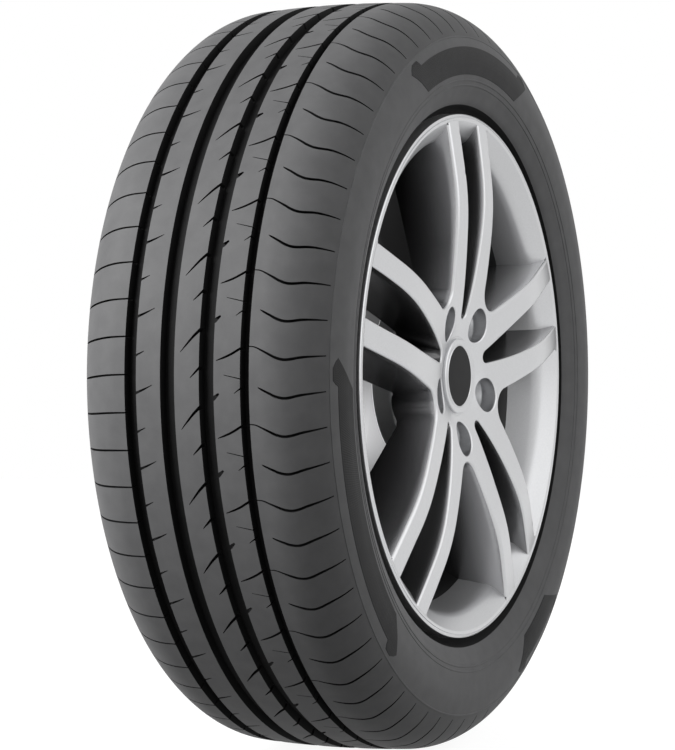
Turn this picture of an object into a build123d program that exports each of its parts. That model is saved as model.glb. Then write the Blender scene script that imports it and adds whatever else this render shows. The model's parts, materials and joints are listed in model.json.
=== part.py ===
from build123d import *

import os
from math import cos, pi, radians, sin, sqrt, tan

# Road tyre fitted on a cast alloy wheel with five pairs of spokes.
# Frame: millimetres, wheel centre at the origin, +Z up, spin axis along Y.
# The outside face of the wheel looks along -Y, the hub side along +Y.
# Sections are drawn with an axial place, counted outward from the middle plane, and a radius.

# Tyre
TYRE_RADIUS = 340.0
TYRE_HALF_WIDTH = 117.0
CROWN_RADIUS = 950.0
GROOVE_DEPTH = 7.5
PITCHES = 68
CUT_WIDTH = 2.6
CUT_DEPTH = 6.5

# Rim
SEAT_RADIUS = 218.3
SEAT_WIDTH = 15.5
RIM_HALF_WIDTH = 95.25
FLANGE_WIDTH = 11.75
FLANGE_HEIGHT = 18.5
LIP_HEIGHT = 6.0
WELL_DEPTH = 16.0
WALL = 5.5

# Hub
OFFSET = 45.0
PAD_RADIUS = 77.0
PAD_THICKNESS = 17.0
BORE_RADIUS = 32.05
BORE_DEPTH = 33.0
CAP_BORE_RADIUS = 29.5
BOLT_COUNT = 5
BOLT_CIRCLE_RADIUS = 57.15
BOLT_HOLE_RADIUS = 7.0
POCKET_RADIUS = 15.5
HUB_DISH = 11.0

# Spokes
FACE_BULGE = 8.0
SPOKE_DEPTH = 42.0
WIDE_APEX = 62.8
WIDE_HALF_ANGLE = 33.0
WIDE_CORNER = 19.0
NARROW_BOTTOM = 52.3
NARROW_WIDTH = 44.8

# Centre cap and valve
CAP_RADIUS = 34.0
CAP_THICKNESS = 3.0
CLIP_LENGTH = 14.0
VALVE_ANGLE = 342.0
VALVE_HOLE_RADIUS = 5.7
VALVE_FOOT_RADIUS = 7.6
VALVE_LENGTH = 32.0
VALVE_CAP_LENGTH = 11.0

LIP = RIM_HALF_WIDTH + FLANGE_WIDTH
FLANGE_RADIUS = SEAT_RADIUS + FLANGE_HEIGHT


def at(axial, radius):
    """Sketch point on the XY plane for an axial place and a radius."""
    return (radius, -axial)


def mirrored(points):
    """The same points on the other side of the middle plane."""
    return [(-axial, radius) for axial, radius in points]


def closed_section(points):
    """Closed section through these points, drawn beside the spin axis."""
    with BuildSketch(Plane.XY) as section:
        with BuildLine():
            Polyline([at(*point) for point in points], close=True)
        make_face()
    return section.sketch


# Tyre section: tread, shoulder round, sidewall, rim guard, bead, then the air space
height = TYRE_RADIUS - SEAT_RADIUS
shoulder = 0.45 * height
tread_scale = TYRE_HALF_WIDTH / 117.0
grooves = [(-52.4, 11.2), (-17.5, 13.2), (18.2, 13.2), (52.15, 7.9)]
groove_slope = 0.16 * GROOVE_DEPTH


def crown(axial):
    """Tread radius at an axial place."""
    return TYRE_RADIUS - axial**2 / (2 * CROWN_RADIUS)


def shoulder_point(angle):
    """Point on the shoulder round, from 0 at the tread to 90 at the widest place."""
    middle = TYRE_HALF_WIDTH - shoulder
    return (middle + shoulder * sin(radians(angle)),
            crown(middle) - shoulder + shoulder * cos(radians(angle)))


guard = RIM_HALF_WIDTH + 0.6 * (TYRE_HALF_WIDTH - RIM_HALF_WIDTH)
seat_end = RIM_HALF_WIDTH - SEAT_WIDTH
seat_end_radius = SEAT_RADIUS - SEAT_WIDTH * tan(radians(5))
side = [shoulder_point(angle) for angle in (24, 54, 90)]
side += [
    (guard, SEAT_RADIUS + 0.275 * height),
    (RIM_HALF_WIDTH, FLANGE_RADIUS + 0.2),
    (RIM_HALF_WIDTH, SEAT_RADIUS),
    (seat_end, seat_end_radius),
    (TYRE_HALF_WIDTH - 9.5, SEAT_RADIUS + 0.6 * height),
    (0.68 * TYRE_HALF_WIDTH, TYRE_RADIUS - GROOVE_DEPTH - 9.0),
]
tread_line = []
for middle, width in grooves:
    first = tread_scale * (middle - width / 2)
    last = tread_scale * (middle + width / 2)
    tread_line += [
        (first, crown(first)),
        (first + groove_slope, crown(first) - GROOVE_DEPTH),
        (last - groove_slope, crown(last) - GROOVE_DEPTH),
        (last, crown(last)),
    ]
half_pitch = pi / PITCHES
pitch_angle = 360 / PITCHES
reach = 1.1 * TYRE_RADIUS


def shoulder_cut(out):
    """Wedge for one cross cut in a shoulder, deepest midway; out is 1 on the outside, -1 on the hub side."""
    start, end = shoulder_point(2), shoulder_point(62)
    first = Vector(start[1], -out * start[0], 0)
    along = Vector(end[1], -out * end[0], 0) - first
    plane = Plane(origin=first, x_dir=(0, 0, 1), z_dir=along)
    rise = 2 * CUT_DEPTH if plane.y_dir.X > 0 else -2 * CUT_DEPTH
    with BuildPart() as cutter:
        with BuildSketch(plane):
            with BuildLine():
                Polyline((0, 0), (CUT_WIDTH, rise), (-CUT_WIDTH, rise), close=True)
            make_face()
        extrude(amount=along.length)
    return cutter.part


with BuildPart() as pitch:
    extrude(closed_section(mirrored(reversed(side)) + tread_line + side), amount=reach * tan(half_pitch),
            both=True)
    with BuildSketch(Plane.XZ):
        with BuildLine():
            Polyline((0, 0), (reach, reach * tan(half_pitch)), (reach, -reach * tan(half_pitch)), close=True)
        make_face()
    extrude(amount=TYRE_HALF_WIDTH + 1.0, both=True, mode=Mode.INTERSECT)
    for out in (1, -1):
        for end in (1, -1):
            add(shoulder_cut(out).rotate(Axis.Y, end * pitch_angle / 2), mode=Mode.SUBTRACT)

with BuildPart() as tyre:
    add([pitch.part.rotate(Axis.Y, step * pitch_angle) for step in range(PITCHES)])
tyre.part.label = "tyre"

# Wheel: rim turned from one section, spokes left between cut windows, hub with pad, bore and stud pockets
well = SEAT_RADIUS - WELL_DEPTH
drop = seat_end_radius - well
well_front = OFFSET + 2.0
well_back = -seat_end + 5.0
under_seat = seat_end_radius - WALL
under_well = well - WALL
rim_section = [
    (LIP, FLANGE_RADIUS - LIP_HEIGHT),
    (LIP, FLANGE_RADIUS),
    (RIM_HALF_WIDTH, FLANGE_RADIUS),
    (RIM_HALF_WIDTH, SEAT_RADIUS),
    (seat_end, seat_end_radius),
    (well_front + drop, seat_end_radius),
    (well_front, well),
    (well_back, well),
    (-seat_end, seat_end_radius),
    (-RIM_HALF_WIDTH, SEAT_RADIUS),
    (-RIM_HALF_WIDTH, FLANGE_RADIUS),
    (-LIP, FLANGE_RADIUS),
    (-LIP, under_seat),
    (-seat_end - 0.7 * WALL, under_seat),
    (well_back - 0.7 * WALL, under_well),
    (well_front + 0.42 * WALL, under_well),
    (well_front + 0.42 * WALL + drop, under_seat),
    (RIM_HALF_WIDTH - 5.0, under_seat),
]
hub_front = LIP - HUB_DISH
hub_edge = PAD_RADIUS + 3.0
pad_top = OFFSET + PAD_THICKNESS
spoke_middle = 0.5 * (PAD_RADIUS + FLANGE_RADIUS)
spoke_front = LIP + FACE_BULGE
spoke_back = spoke_front - SPOKE_DEPTH
disc_section = [
    (hub_front, 0),
    (hub_front, CAP_RADIUS + 1.0),
    (LIP + 0.7, hub_edge),
    (spoke_front, spoke_middle - 10.0),
    (LIP - 1.0, FLANGE_RADIUS - LIP_HEIGHT + 2.0),
    (RIM_HALF_WIDTH + 1.0, SEAT_RADIUS + 2.0),
    (RIM_HALF_WIDTH, SEAT_RADIUS - 0.8),
    (RIM_HALF_WIDTH - 5.0, seat_end_radius - 0.4 * WALL),
    (well_front + drop, seat_end_radius - 0.5 * WALL),
    (well_front + 0.42 * WALL, well - 0.5 * WALL),
    (spoke_back, PAD_RADIUS + 14.0),
    (pad_top - 3.0, PAD_RADIUS - 2.0),
    (pad_top - 3.0, 0),
]

with BuildSketch() as wide_window:
    with BuildLine():
        half = (FLANGE_RADIUS - WIDE_APEX) * tan(radians(WIDE_HALF_ANGLE))
        Polyline((WIDE_APEX, 0), (FLANGE_RADIUS, half), (FLANGE_RADIUS, -half), close=True)
    make_face()
    fillet(wide_window.vertices().sort_by(Axis.X)[0], WIDE_CORNER)

with BuildSketch() as narrow_window:
    with BuildLine():
        start = NARROW_BOTTOM + 6.0
        half = NARROW_WIDTH / 2
        bend = ((start + FLANGE_RADIUS) / 2, 0.83 * half)
        ThreePointArc((start, -6.0), (NARROW_BOTTOM, 0), (start, 6.0))
        ThreePointArc((start, 6.0), bend, (FLANGE_RADIUS, half))
        Line((FLANGE_RADIUS, half), (FLANGE_RADIUS, -half))
        ThreePointArc((FLANGE_RADIUS, -half), (bend[0], -bend[1]), (start, -6.0))
    make_face()

# Valve: square to the sloping wall of the well, pointing outward and at the hub
valve_foot = Vector(*at(well_front + drop / 2, well + drop / 2))
valve_axis = Axis(valve_foot, (-1, -1, 0))


def valve_piece(steps):
    """Turned piece of the valve from steps along its axis and radii, swung to the valve's angle."""
    across = Vector(valve_axis.direction.Y, -valve_axis.direction.X)
    with BuildPart() as piece:
        with BuildSketch(Plane.XY):
            with BuildLine():
                Polyline([valve_foot + along * valve_axis.direction + radius * across
                          for along, radius in steps], close=True)
            make_face()
        revolve(axis=valve_axis)
    return piece.part.rotate(Axis.Y, VALVE_ANGLE - 180)


front = spoke_front + 2.0
face_plane = Plane(origin=(0, -front, 0), x_dir=(1, 0, 0), z_dir=(0, 1, 0))

with BuildPart() as alloy_wheel:
    revolve(closed_section(disc_section), axis=Axis.Y)
    with BuildSketch(face_plane):
        with PolarLocations(0, BOLT_COUNT, start_angle=90):
            add(wide_window.sketch)
        with PolarLocations(0, BOLT_COUNT, start_angle=90 + 180 / BOLT_COUNT):
            add(narrow_window.sketch)
    extrude(amount=front - OFFSET, mode=Mode.SUBTRACT)
    revolve(closed_section([(OFFSET, 0), (OFFSET, PAD_RADIUS), (pad_top, PAD_RADIUS), (pad_top, 0)]),
            axis=Axis.Y)
    revolve(closed_section(rim_section), axis=Axis.Y)
    with BuildSketch(face_plane):
        with PolarLocations(BOLT_CIRCLE_RADIUS, BOLT_COUNT, start_angle=90):
            Circle(POCKET_RADIUS)
    extrude(amount=front - pad_top, mode=Mode.SUBTRACT)
    with BuildSketch(face_plane):
        with PolarLocations(BOLT_CIRCLE_RADIUS, BOLT_COUNT, start_angle=90):
            Circle(BOLT_HOLE_RADIUS)
        Circle(CAP_BORE_RADIUS)
    extrude(amount=front, mode=Mode.SUBTRACT)
    with BuildSketch(Plane.XZ.offset(OFFSET)):
        Circle(BORE_RADIUS)
    extrude(amount=BORE_DEPTH, mode=Mode.SUBTRACT)
    add(valve_piece([(-WALL, 0), (-WALL, VALVE_HOLE_RADIUS), (2 * WALL, VALVE_HOLE_RADIUS), (2 * WALL, 0)]),
        mode=Mode.SUBTRACT)
alloy_wheel.part.label = "alloy_wheel"

# Centre cap: disc held in the bore by clips
cap_plane = Plane(origin=(0, -hub_front, 0), x_dir=(1, 0, 0), z_dir=(0, -1, 0))
clip_reach = sqrt(CAP_BORE_RADIUS**2 - 3.5**2)

with BuildPart() as centre_cap:
    with BuildSketch(cap_plane):
        Circle(CAP_RADIUS)
    extrude(amount=CAP_THICKNESS)
    with BuildSketch(cap_plane):
        with PolarLocations(clip_reach - 1.1, BOLT_COUNT):
            Rectangle(2.2, 7.0)
    extrude(amount=-CLIP_LENGTH)
centre_cap.part.label = "centre_cap"

# Valve: rubber snap-in stem with a wide foot inside the tyre, and its dust cap
cap_start = VALVE_LENGTH - VALVE_CAP_LENGTH
spigot = 0.45 * VALVE_HOLE_RADIUS

with BuildPart() as valve_stem:
    add(valve_piece([
        (-4.0, 0), (-4.0, VALVE_FOOT_RADIUS), (0, VALVE_FOOT_RADIUS), (0, VALVE_HOLE_RADIUS),
        (cap_start, VALVE_HOLE_RADIUS), (cap_start, spigot),
        (VALVE_LENGTH - 2.0, spigot), (VALVE_LENGTH - 2.0, 0),
    ]))
valve_stem.part.label = "valve_stem"

with BuildPart() as valve_cap:
    add(valve_piece([
        (cap_start, spigot), (cap_start, 0.85 * VALVE_HOLE_RADIUS), (VALVE_LENGTH, 0.85 * VALVE_HOLE_RADIUS),
        (VALVE_LENGTH, 0), (VALVE_LENGTH - 2.0, 0), (VALVE_LENGTH - 2.0, spigot),
    ]))
valve_cap.part.label = "valve_cap"

os.makedirs("parts", exist_ok=True)
for piece in (tyre, alloy_wheel, centre_cap, valve_stem, valve_cap):
    export_step(piece.part, f"parts/{piece.part.label}.step")
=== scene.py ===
"""Looks of a road tyre on a cast alloy wheel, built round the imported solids.

Shapes are worked out in millimetres and degrees, with an axial place counted outward from the
middle plane, a radius and an angle; the angle is 0 on the -X side and 90 at the top.
"""

import json
from math import asin, atan2, cos, hypot, pi, radians, sin, sqrt, tan

import bpy
import numpy as np
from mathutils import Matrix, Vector
from mathutils.geometry import delaunay_2d_cdt


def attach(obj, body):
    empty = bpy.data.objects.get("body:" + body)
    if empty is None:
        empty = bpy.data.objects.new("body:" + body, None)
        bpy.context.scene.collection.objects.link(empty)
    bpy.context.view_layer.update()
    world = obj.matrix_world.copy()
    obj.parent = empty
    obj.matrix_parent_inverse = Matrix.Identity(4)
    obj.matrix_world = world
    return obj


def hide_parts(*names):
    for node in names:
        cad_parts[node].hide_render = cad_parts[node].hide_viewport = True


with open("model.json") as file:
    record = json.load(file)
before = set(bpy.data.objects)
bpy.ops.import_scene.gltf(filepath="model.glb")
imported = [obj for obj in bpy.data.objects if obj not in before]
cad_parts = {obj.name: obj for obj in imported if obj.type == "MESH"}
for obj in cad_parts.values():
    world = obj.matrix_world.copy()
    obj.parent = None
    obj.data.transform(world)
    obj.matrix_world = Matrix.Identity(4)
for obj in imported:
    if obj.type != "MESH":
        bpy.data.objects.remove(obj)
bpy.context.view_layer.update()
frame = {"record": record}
mounts = {mount["name"]: mount for mount in frame["record"]["mounts"]}

# Tyre; a place across the tread is an arc length from its middle, positive on the outer side
TYRE_RADIUS = 340.0
TYRE_HALF_WIDTH = 117.0
CROWN_RADIUS = 950.0
SHOULDER_RADIUS = 55.0
TREAD_END = 125.2  # where the bands of the tread end
DOUBLE_PITCHES = 34
STEPS = 8  # rows of points in a double pitch
GROOVES = [(-58.0, -46.8), (-24.1, -10.9), (11.6, 24.8), (48.2, 56.1)]
GROOVE_DEPTH = 7.5
GROOVE_SLOPE = 1.2  # how far a groove narrows on each side
CUT_DEPTH = 6.0
CUT_END_DEPTH = 0.6  # where a shoulder cut fades out
BEAD_TOP = 237.0

# Sidewall rings, their shape as (place across, share of the height)
RING_RADII = (266.5, 262.0)
RING_SHAPE = ((-0.9, 0.0), (-0.5, 1.0), (0.5, 1.0), (0.9, 0.0))
RING_HEIGHT = 0.5
SHOULDER_RING_SINK = 0.1

# Finely ridged panels on the sidewall, with the angles between which their inner edges lie
PANELS = [(65.0, 109.2), (312.5, 358.0), (231.0, 244.5)]
PANEL_LOW = 271.5
PANEL_HIGH = 296.5
PANEL_FLARE = 5.0
TAB_HEIGHT = 6.0
TAB_LENGTH = 4.6
TAB_INNER_SLANT = 0.6
RIDGE_PITCH = 0.42
RIDGE_TOP = 0.45
RIDGE_FOOT = 0.3
PANEL_ROOT = -0.2

# Rim
SEAT_RADIUS = 218.3
SEAT_END = (79.75, 216.95)  # axial place and radius
RIM_HALF_WIDTH = 95.25
FLANGE_RADIUS = 236.8
LIP = 107.0
LIP_INNER = 231.0
WELL_RADIUS = 202.3
WELL_INSIDE_RADIUS = 196.8
REAR_INSIDE_RADIUS = 211.4
RIM_SEGMENTS = 240

# Hub, with the sizes that fit another part taken from the record
OFFSET = -1000 * mounts["hub_bolts"]["pos_m"][1]
BORE_RADIUS = mounts["hub_bore"]["dims"]["r_mm"]
BOLT_COUNT = mounts["hub_bolts"]["dims"]["count"]
BOLT_CIRCLE_RADIUS = mounts["hub_bolts"]["dims"]["pcd_mm"] / 2
BOLT_HOLE_RADIUS = mounts["hub_bolts"]["dims"]["hole_r_mm"]
PAD_RADIUS = 77.0
PAD_BEVEL = 0.8
POCKET_RADIUS = 15.5
POCKET_ROUND = 1.4
POCKET_STEP = 92.0  # axial place where a pocket narrows
POCKET_SEGMENTS = 48
HUB_FRONT = 96.0
HUB_SEGMENTS = 96
CAP_BORE_RADIUS = 29.5
CAP_BORE_END = 78.0
FACE_INNER = 36.0
FACE_INNER_PLACE = 96.3
BACK_INNER = 72.0
BACK_OUTER = 206.0
BACK_SEGMENTS = 160

# Spoke windows
FIRST_WINDOW = 270.0
WIDE_APEX = 62.8
WIDE_HALF_ANGLE = 33.0
WIDE_CORNER = 19.0
WIDE_END = 208.0
WIDE_ROUND = 3.5
WIDE_DRAFT = 4.0
NARROW_BOTTOM = 52.3
NARROW_WIDTH = 44.8
NARROW_BOW = 0.83  # share of the half width that the middle of a side has
NARROW_CORNER = 6.0
NARROW_ROUND = 2.2
NARROW_DRAFT = 2.0
VALLEY_LENGTH = 44.0  # how far out the floor of a narrow window slopes
VALLEY_FOOT = 26.0  # where that slope starts at the back
BEYOND_RIM = 262.0  # radius where a window's outline is closed
STEEPEST = radians(76.0)  # how far a rounded edge turns over
ROUNDED_SHARE = 0.12  # part of a flank that is shaded as rounded

# Cap and valve
CAP_RADIUS = 34.0
CAP_DISC_RADIUS = 27.2
CLIP_LENGTH = 14.0
CLIP_HALF_WIDTH = 3.5
CLIP_OUTER = 29.2
CLIP_INNER = 27.0
VALVE_ANGLE = 342.0
VALVE_FOOT = (54.3, 209.6)  # axial place and radius
VALVE_SEGMENTS = 40
DUST_CAP_RIBS = 18
DUST_CAP_RADIUS = 4.85
DUST_CAP_VALLEY_RADIUS = 4.45

# Material slots of the tyre, the wheel and the cap
# The tyre's last slot holds rubber painted near-black: painted shade in the grooves, the cuts and the
# recess beside the rim.
TREAD, SIDEWALL, RIDGES, HOLLOW_SHADE = range(4)
FACE, BARREL, WIDE_FLANK, NARROW_FLANK, RIM_FRONT = range(5)
BEZEL, CAP_DARK = range(2)

# Floor and surroundings, the floor in metres
FLOOR_RADIUS = 6.0
FLOOR_GLOW = 0.92
SKY_DIM = 0.08
SKY_BRIGHT = 1.0

# Meshing
CROWN_SPACING = 8.0
SHOULDER_SPACING = 4.7
SHARP_BEND = 32.0
WELD_DIGITS = 3
TOUCHING = 1e-3
AXIS_RADIUS = 0.01  # stands for none, so that no face has zero area

DOUBLE_PITCH = 360.0 / DOUBLE_PITCHES
SINGLE_PITCH = DOUBLE_PITCH / 2
DEGREE = TYRE_RADIUS * pi / 180
TYRE_SEGMENTS = STEPS * DOUBLE_PITCHES
SECTOR = 360.0 / BOLT_COUNT


# Mesh gathering


def spun(axial, radius, angle):
    """Points or directions from axial places, radii and angles, in the part's frame."""
    turn = np.radians(angle)
    return np.stack([-radius * np.cos(turn), -axial + 0 * turn, radius * np.sin(turn)], axis=-1)


def unit(directions):
    """The same directions at length one."""
    return directions / np.linalg.norm(directions, axis=-1, keepdims=True)


class Gather:
    """Gathers triangles with a normal at each corner, and makes one welded mesh of them."""

    def __init__(self):
        self.corners = []
        self.normals = []
        self.slots = []

    def add(self, corners, normals, slot=0):
        """Adds triangles, turned so that they face along their normals."""
        corners = np.array(corners, float).reshape(-1, 3, 3)
        normals = np.array(normals, float).reshape(-1, 3, 3)
        across = np.cross(corners[:, 1] - corners[:, 0], corners[:, 2] - corners[:, 0])
        wrong = (across * normals.sum(axis=1)).sum(axis=1) < 0
        corners[wrong] = corners[wrong][:, ::-1]
        normals[wrong] = normals[wrong][:, ::-1]
        self.corners.append(corners)
        self.normals.append(normals)
        self.slots.append(np.full(len(corners), slot))

    def quads(self, a, b, c, d, na, nb, nc, nd, slot=0):
        """Adds four-cornered faces, given corner by corner."""
        self.add(np.concatenate([np.stack([a, b, c], axis=-2).reshape(-1, 3, 3),
                                 np.stack([a, c, d], axis=-2).reshape(-1, 3, 3)]),
                 np.concatenate([np.stack([na, nb, nc], axis=-2).reshape(-1, 3, 3),
                                 np.stack([na, nc, nd], axis=-2).reshape(-1, 3, 3)]), slot)

    def flat_quads(self, a, b, c, d, facing, slot=0):
        """Adds flat four-cornered faces that look to the side that facing points to."""
        normal = np.cross(b - a, d - a)
        length = np.linalg.norm(normal, axis=-1, keepdims=True)
        normal = normal / np.maximum(length, 1e-9)
        normal = np.where((normal * facing).sum(axis=-1, keepdims=True) < 0, -normal, normal)
        self.quads(a, b, c, d, normal, normal, normal, normal, slot)

    def move(self, turned, origin):
        """Turns all that was gathered to three new axes, and shifts it to an origin."""
        self.corners = [corners @ turned + origin for corners in self.corners]
        self.normals = [normals @ turned for normals in self.normals]

    def build(self, name, materials):
        """One object, in metres, from all that was gathered."""
        corners = np.concatenate(self.corners)
        normals = np.concatenate(self.normals)
        slots = np.concatenate(self.slots)
        places = np.round(corners.reshape(-1, 3), WELD_DIGITS)
        points, index = np.unique(places, axis=0, return_inverse=True)
        faces = index.reshape(-1, 3)
        whole = np.all(faces != np.roll(faces, 1, axis=1), axis=1)
        faces, normals, slots = faces[whole], normals[whole], slots[whole]
        mesh = bpy.data.meshes.new(name)
        mesh.from_pydata((points * 0.001).tolist(), [], faces.tolist())
        for material in materials:
            mesh.materials.append(material)
        mesh.polygons.foreach_set("material_index", slots.astype(np.int32))
        mesh.polygons.foreach_set("use_smooth", np.ones(len(faces), dtype=bool))
        mesh.normals_split_custom_set(normals.reshape(-1, 3).tolist())
        piece = bpy.data.objects.new(name, mesh)
        bpy.context.collection.objects.link(piece)
        return piece


def lathe(gather, profile, segments, slot=0, centre=(0.0, 0.0)):
    """Turns a profile of axial places and radii about the spin axis, or a line beside it.

    The surface faces to the left of the way along the profile: outward when it runs from the hub side
    to the outside, at the spin axis when it runs back. Sharp bends keep their edge, others look round.
    """
    line = np.array(profile, float)
    step = unit(np.diff(line, axis=0))
    normal = np.stack([-step[:, 1], step[:, 0]], axis=1)
    starts, ends = normal.copy(), normal.copy()
    for k in range(len(normal) - 1):
        if normal[k] @ normal[k + 1] > cos(radians(SHARP_BEND)):
            ends[k] = starts[k + 1] = unit(normal[k] + normal[k + 1])
    angles = np.arange(segments + 1) * 360.0 / segments
    low, high = angles[:-1], angles[1:]
    place = np.array([centre[0], 0.0, centre[1]])
    for before, after, start, end in zip(line, line[1:], starts, ends):
        gather.quads(place + spun(*before, low), place + spun(*before, high),
                     place + spun(*after, high), place + spun(*after, low),
                     spun(*start, low), spun(*start, high), spun(*end, high), spun(*end, low), slot)


def mirrored(profile):
    """The same profile on the other side of the middle plane, run the other way."""
    return [(-axial, radius) for axial, radius in profile][::-1]


def smooth_line(points, parts):
    """Points on a smooth curve through these points, with so many parts between two of them."""
    line = np.array(points, float)
    padded = np.vstack([2 * line[0] - line[1], line, 2 * line[-1] - line[-2]])
    result = []
    for k in range(len(line) - 1):
        p0, p1, p2, p3 = padded[k:k + 4]
        for t in np.arange(parts) / parts:
            result.append(0.5 * (2 * p1 + (p2 - p0) * t + (2 * p0 - 5 * p1 + 4 * p2 - p3) * t**2
                                 + (3 * p1 - p0 - 3 * p2 + p3) * t**3))
    result.append(line[-1])
    return np.array(result)


def inside(points, outline):
    """Which points lie inside a closed outline."""
    x, y = points[:, 0], points[:, 1]
    result = np.zeros(len(points), dtype=bool)
    for (x0, y0), (x1, y1) in zip(outline, np.roll(outline, -1, axis=0)):
        crosses = (y0 > y) != (y1 > y)
        if crosses.any():
            result ^= crosses & (x < (x1 - x0) * (y - y0) / (y1 - y0 + 1e-30) + x0)
    return result


def in_any(points, outlines):
    """Which points lie inside one of these outlines."""
    return np.any([inside(points, outline) for outline in outlines], axis=0)


def triangulate(loose, lines):
    """Triangles over loose points and lines that they keep; each line is (points, closed)."""
    points = [Vector(p) for p in loose]
    edges = []
    for line, closed in lines:
        first = len(points)
        points += [Vector(p) for p in line]
        edges += [(first + k, first + k + 1) for k in range(len(line) - 1)]
        if closed:
            edges.append((first + len(line) - 1, first))
    result = delaunay_2d_cdt(points, edges, [], 0, 1e-4, False)
    return np.array([tuple(p) for p in result[0]]), np.array(result[2])


def open_edges(triangles):
    """Edges that belong to one triangle only."""
    sides = [triangles[:, [0, 1]], triangles[:, [1, 2]], triangles[:, [2, 0]]]
    edges = np.sort(np.concatenate(sides), axis=1)
    unique, count = np.unique(edges, axis=0, return_counts=True)
    return unique[count == 1]


# Tyre tread

shoulder_middle = TYRE_HALF_WIDTH - SHOULDER_RADIUS
join_angle = asin(shoulder_middle / (CROWN_RADIUS - SHOULDER_RADIUS))
crown_end = CROWN_RADIUS * join_angle
shoulder_end = crown_end + SHOULDER_RADIUS * (pi / 2 - join_angle)
shoulder_height = TYRE_RADIUS - CROWN_RADIUS + (CROWN_RADIUS - SHOULDER_RADIUS) * cos(join_angle)


def tread_place(across):
    """Axial place, radius and outward direction at an arc length across the tread from its middle."""
    side = np.sign(across)
    reach = np.abs(across)
    crown = reach <= crown_end
    turn = np.where(crown, reach / CROWN_RADIUS, join_angle + (reach - crown_end) / SHOULDER_RADIUS)
    axial = np.where(crown, CROWN_RADIUS * np.sin(turn), shoulder_middle + SHOULDER_RADIUS * np.sin(turn))
    radius = np.where(crown, TYRE_RADIUS - CROWN_RADIUS * (1 - np.cos(turn)),
                      shoulder_height + SHOULDER_RADIUS * np.cos(turn))
    return side * axial, radius, side * np.sin(turn), np.cos(turn)


def tread_profile(across, height):
    """Axial place and radius at a height over the tread surface."""
    axial, radius, out_axial, out_radial = tread_place(np.array(across))
    return float(axial + height * out_axial), float(radius + height * out_radial)


def tread_points(across, angle, depth):
    """Points at a depth under the tread surface, and the outward directions there."""
    axial, radius, out_axial, out_radial = tread_place(across)
    return (spun(axial - depth * out_axial, radius - depth * out_radial, angle),
            spun(out_axial, out_radial, angle))


def cut_outline(route, start, widths):
    """Outline of a cut, in arc length and millimetres round.

    Its route has (arc length, angle from the start) points, and its widths are spread along that.
    """
    line = smooth_line([(across, (start + turn) * DEGREE) for across, turn in route], parts=5)
    step = unit(np.gradient(line, axis=0))
    normal = np.stack([-step[:, 1], step[:, 0]], axis=1)
    spread = np.linspace(0, 1, len(line))
    half = np.interp(spread, np.linspace(0, 1, len(widths)), widths)[:, None] / 2
    return np.vstack([line + half * normal, (line - half * normal)[::-1]])


def in_pitch(outlines, seam):
    """The outlines moved by whole double pitches so that each lies above the seam."""
    result = []
    for outline in outlines:
        middle = outline[:, 1].mean() / DEGREE
        turns = np.floor((middle - seam) / DOUBLE_PITCH)
        result.append(outline - np.array([0, turns * DOUBLE_PITCH * DEGREE]))
    return result


def cut_depth(across, fade):
    """Depth of the cuts, full before the first arc length of a fade and least after its second."""
    if fade is None:
        return np.full(len(across), CUT_DEPTH)
    share = np.clip((np.abs(across) - fade[0]) / (fade[1] - fade[0]), 0, 1)
    return CUT_DEPTH + (CUT_END_DEPTH - CUT_DEPTH) * share**1.5


def rib_sheet(first, last, low, high, cuts):
    """Points of one double pitch of a band, laid flat, and the triangles of its top and its cuts."""
    rows = np.linspace(low, high, STEPS + 1)
    spacing = SHOULDER_SPACING if TREAD_END in (-first, last) else CROWN_SPACING
    columns = np.linspace(first, last, int(np.ceil((last - first) / spacing)) + 1)
    loose = [(s, t) for s in columns[1:-1] for t in rows[1:-1]]
    lines = [([(s, t) for t in rows], False) for s in (first, last)]
    lines += [([(s, t) for s in columns], False) for t in (low, high)]
    lines += [(outline, True) for outline in cuts]
    flat, triangles = triangulate(loose, lines)
    middle = flat[triangles].mean(axis=1)
    within = (middle[:, 0] > first) & (middle[:, 0] < last) & (middle[:, 1] > low) & (middle[:, 1] < high)
    cut = in_any(middle, cuts)
    return flat, triangles[within & ~cut], triangles[within & cut]


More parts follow.
